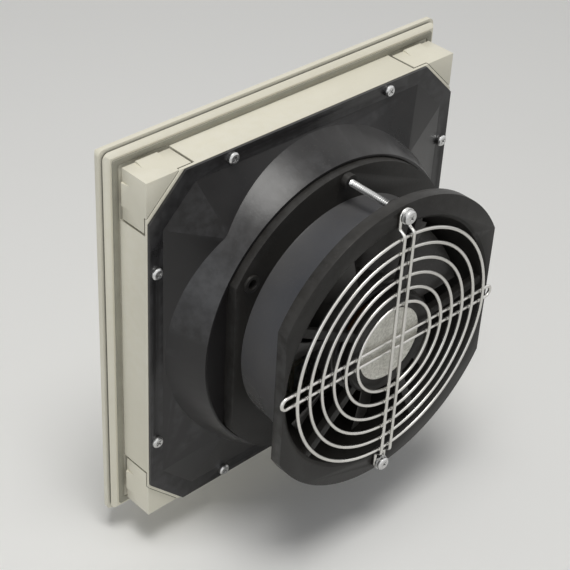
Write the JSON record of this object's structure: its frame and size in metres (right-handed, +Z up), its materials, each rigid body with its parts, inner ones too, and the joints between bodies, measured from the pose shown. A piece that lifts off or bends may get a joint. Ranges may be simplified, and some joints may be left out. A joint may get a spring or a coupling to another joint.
{
  "type": "enclosure filter fan",
  "caption": "Plug-in enclosure filter fan: square bezel with hinged louvred cover and filter mat, deep frame with snap latches, and a tapered cowl carrying a guarded axial fan.",
  "frame": {"origin": "centre of the flange's rear face, which lies on the panel, on the fan's axis", "axes": "+Y from the panel towards the fan, -Y out of the louvred front, +Z up, +X to the right as seen from the front"},
  "size_m": [0.2424, 0.1157, 0.2424],
  "materials": {
    "ivory_plastic": "fine satin moulding",
    "filter_fleece": "matt non-woven fleece",
    "gasket_foam": "matt foam",
    "black_plastic": "satin moulding",
    "zinc_steel": "zinc plated",
    "dark_casting": "satin black paint on die-cast metal",
    "bright_disc": "bright plain disc",
    "lamination_steel": "oiled laminations",
    "copper_winding": "enamelled copper",
    "bearing_steel": "ground steel",
    "rotor_paint": "satin dark paint",
    "cage_aluminium": "cast",
    "blade_plastic": "satin moulding",
    "terminal_plastic": "gloss moulding",
    "terminal_brass": "bare",
    "guard_wire": "bright zinc-plated wire"
  },
  "bodies": {
    "frame": {"main_frame": "ivory_plastic", "support_grid": "ivory_plastic", "filter_mat": "filter_fleece", "panel_gasket": "gasket_foam", "cover_hinge_pins": "zinc_steel", "cowl": "black_plastic", "cowl_screws": "zinc_steel", "fan_housing": "dark_casting", "motor_cap": "bright_disc", "stator_core": "lamination_steel", "stator_windings": "copper_winding", "bearing_front": "bearing_steel", "bearing_rear": "bearing_steel", "preload_spring": "bearing_steel", "terminal_block": "terminal_plastic", "terminal_tabs": "terminal_brass", "guard_rings": "guard_wire", "guard_arms": "guard_wire", "guard_screws": "zinc_steel", "guard_washers": "zinc_steel", "guard_nuts": "zinc_steel"},
    "cover": {"louvre_cover": "ivory_plastic"},
    "rotor": {"rotor_can": "rotor_paint", "rotor_cage": "cage_aluminium", "impeller": "blade_plastic", "rotor_shaft": "bearing_steel", "shaft_circlip": "bearing_steel"},
    "latch_top_left": {"latch_top_left": "ivory_plastic"},
    "latch_top_right": {"latch_top_right": "ivory_plastic"},
    "latch_bottom_left": {"latch_bottom_left": "ivory_plastic"},
    "latch_bottom_right": {"latch_bottom_right": "ivory_plastic"}
  },
  "joints": [
    {"name": "rotor_spin", "type": "hinge", "parent": "frame", "child": "rotor", "pos_m": [0, 0.06, 0], "axis": [0, 1, 0], "continuous": true},
    {"name": "cover_hinge", "type": "hinge", "parent": "frame", "child": "cover", "pos_m": [0, -0.0031, -0.1185], "axis": [1, 0, 0], "range_deg": [0, 90]},
    {"name": "latch_top_left_flex", "type": "hinge", "parent": "frame", "child": "latch_top_left", "pos_m": [0.1009, 0.0212, 0.1009], "axis": [0.7071, 0, -0.7071], "range_deg": [0, 4.5], "stiffness_Nm_per_rad": 2},
    {"name": "latch_top_right_flex", "type": "hinge", "parent": "frame", "child": "latch_top_right", "pos_m": [-0.1009, 0.0212, 0.1009], "axis": [0.7071, 0, 0.7071], "range_deg": [0, 4.5], "stiffness_Nm_per_rad": 2},
    {"name": "latch_bottom_left_flex", "type": "hinge", "parent": "frame", "child": "latch_bottom_left", "pos_m": [0.1009, 0.0212, -0.1009], "axis": [-0.7071, 0, -0.7071], "range_deg": [0, 4.5], "stiffness_Nm_per_rad": 2},
    {"name": "latch_bottom_right_flex", "type": "hinge", "parent": "frame", "child": "latch_bottom_right", "pos_m": [-0.1009, 0.0212, -0.1009], "axis": [-0.7071, 0, 0.7071], "range_deg": [0, 4.5], "stiffness_Nm_per_rad": 2}
  ]
}
